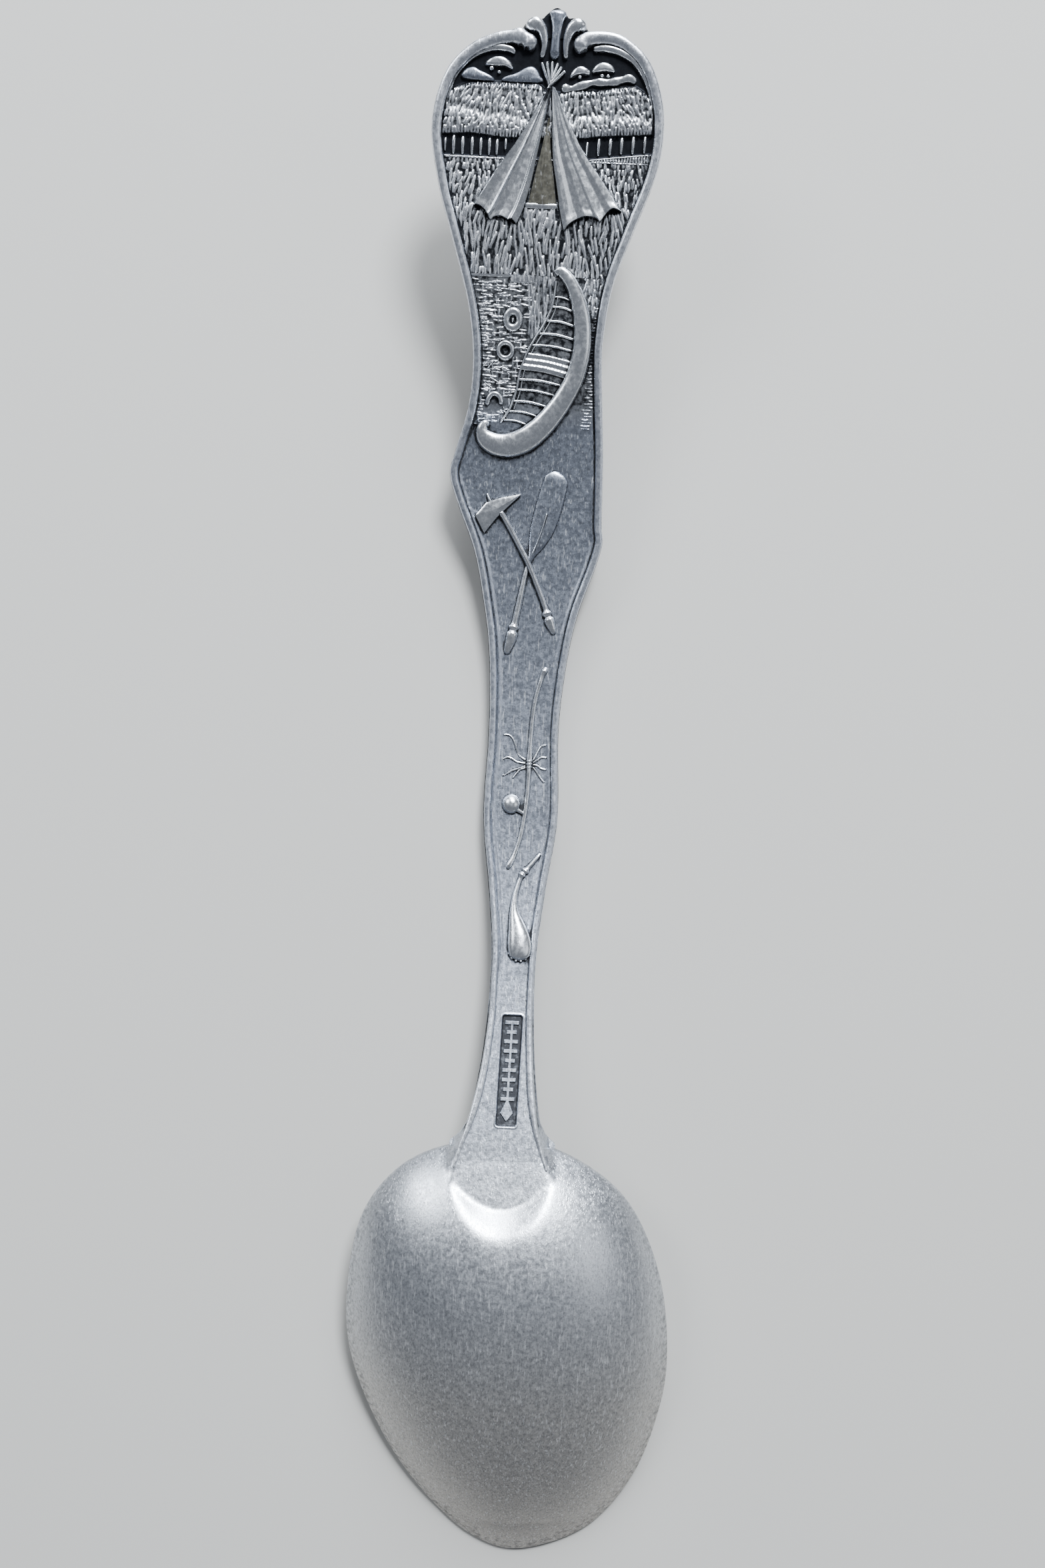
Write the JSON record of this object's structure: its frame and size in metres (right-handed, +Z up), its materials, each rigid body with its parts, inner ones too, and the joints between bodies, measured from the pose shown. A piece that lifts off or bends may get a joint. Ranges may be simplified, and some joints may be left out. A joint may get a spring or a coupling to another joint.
{
  "type": "souvenir spoon",
  "caption": "Die-struck silver souvenir teaspoon, seen from its back, with a camp, canoe and tool relief on the handle.",
  "frame": {"origin": "on the table plane, under the middle of the spoon lying face down", "axes": "+Y along the handle towards its crest, +Z up out of the decorated back, +X across"},
  "size_m": [0.0292, 0.1346, 0.0156],
  "materials": {
    "satin_silver": "satin sterling silver, fine scratches",
    "bright_silver": "rubbed sterling silver on the high relief",
    "oxidised_silver": "oxidised sterling silver in the recesses"
  },
  "bodies": {
    "root": {"head_plate": "satin_silver", "stem_plate": "satin_silver", "shank": "satin_silver", "bowl": "satin_silver", "border_left": "bright_silver", "border_right": "bright_silver", "neck_ridge_left": "bright_silver", "neck_ridge_right": "bright_silver", "inner_fillet_left": "bright_silver", "inner_fillet_right": "bright_silver", "crest_column": "satin_silver", "crest_lobe_left": "bright_silver", "crest_lobe_right": "bright_silver", "crest_scroll_left": "bright_silver", "crest_scroll_right": "bright_silver", "cloud_left_low": "bright_silver", "cloud_left_dome": "bright_silver", "cloud_left_centre": "bright_silver", "cloud_right_small": "bright_silver", "cloud_right_dome": "bright_silver", "cloud_right_band": "bright_silver", "hills_left": "satin_silver", "hills_right": "satin_silver", "palisade_left": "bright_silver", "palisade_right": "bright_silver", "tipi_flap_left": "bright_silver", "tipi_flap_right": "bright_silver", "tipi_doorway": "oxidised_silver", "tipi_sill": "bright_silver", "tipi_poles": "bright_silver", "canoe_hull": "bright_silver", "canoe_ribs": "satin_silver", "canoe_rail": "bright_silver", "ripple_upper": "bright_silver", "ripple_middle": "bright_silver", "ripple_lower": "bright_silver", "tomahawk_head": "bright_silver", "tomahawk_handle": "bright_silver", "paddle_blade": "satin_silver", "paddle_shaft": "bright_silver", "pipe_stem": "bright_silver", "pipe_feathers_left": "bright_silver", "pipe_feathers_right": "bright_silver", "pipe_bowl": "bright_silver", "war_club": "bright_silver", "mark_bars": "oxidised_silver"}
  },
  "joints": []
}
